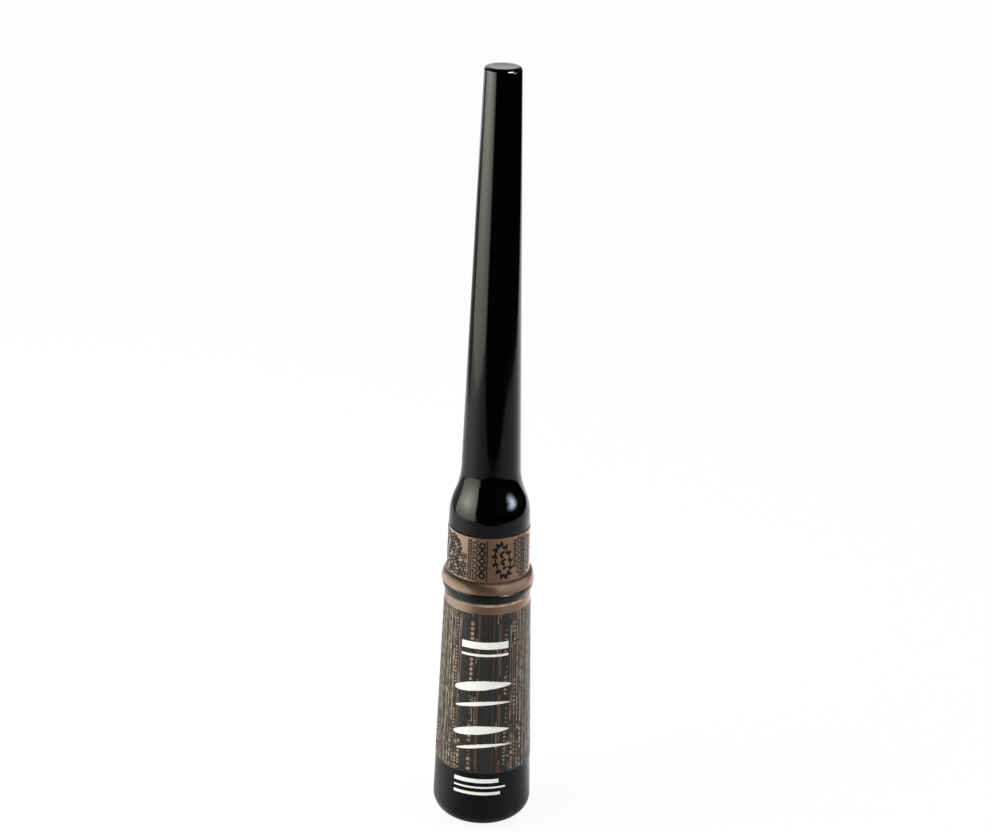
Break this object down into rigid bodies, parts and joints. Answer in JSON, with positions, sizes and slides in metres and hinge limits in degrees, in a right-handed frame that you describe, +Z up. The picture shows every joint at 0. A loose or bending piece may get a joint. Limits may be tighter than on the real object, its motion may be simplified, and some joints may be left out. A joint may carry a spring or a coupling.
{
  "type": "liquid eyeliner",
  "caption": "Liquid eyeliner: a small tapered bottle closed by a tall slim screw cap whose stem and fine brush reach down through a wiper into the vial.",
  "frame": {"origin": "middle of the flat foot on the bottle's underside", "axes": "+Z up the long axis from the bottle to the tip of the handle; X and Y across it, the part being round"},
  "size_m": [0.0162, 0.0162, 0.126],
  "materials": {
    "lacquered_shell": "ABS under taupe brown lacquer with a dark printed field, black at the foot, satin gloss",
    "natural_polypropylene": "moulded, translucent milky",
    "soft_polyethylene": "moulded soft, waxy",
    "polished_steel": "polished stainless steel",
    "foamed_polyethylene": "foamed soft washer",
    "gloss_black_abs": "moulded high gloss black",
    "brown_lacquer": "taupe brown lacquer with a black print, satin gloss",
    "black_polypropylene": "moulded satin black",
    "black_acetal": "moulded satin black, wiped smooth",
    "crimped_aluminium": "crimped thin sleeve",
    "fine_bristle": "fine tapered nylon filaments"
  },
  "bodies": {
    "bottle": {"bottle_shell": "lacquered_shell", "bottle_vial": "natural_polypropylene", "wiper": "soft_polyethylene"},
    "ball": {"mixing_ball": "polished_steel"},
    "seal": {"seal_ring": "foamed_polyethylene"},
    "cap": {"cap_handle": "gloss_black_abs", "cap_collar": "brown_lacquer", "cap_ring": "gloss_black_abs", "cap_inner": "black_polypropylene", "stem": "black_acetal", "brush_ferrule": "crimped_aluminium", "brush_tuft": "fine_bristle"}
  },
  "joints": [
    {"name": "cap_lift", "type": "slide", "parent": "bottle", "child": "seal", "axis": [0, 0, 1], "range_m": [0, 0.05]},
    {"name": "cap_turn", "type": "hinge", "parent": "seal", "child": "cap", "pos_m": [0, 0, 0.05], "axis": [0, 0, 1], "range_deg": [0, 180]},
    {"name": "ball_travel", "type": "slide", "parent": "bottle", "child": "ball", "axis": [0, 0, 1], "range_m": [0, 0.032]}
  ]
}
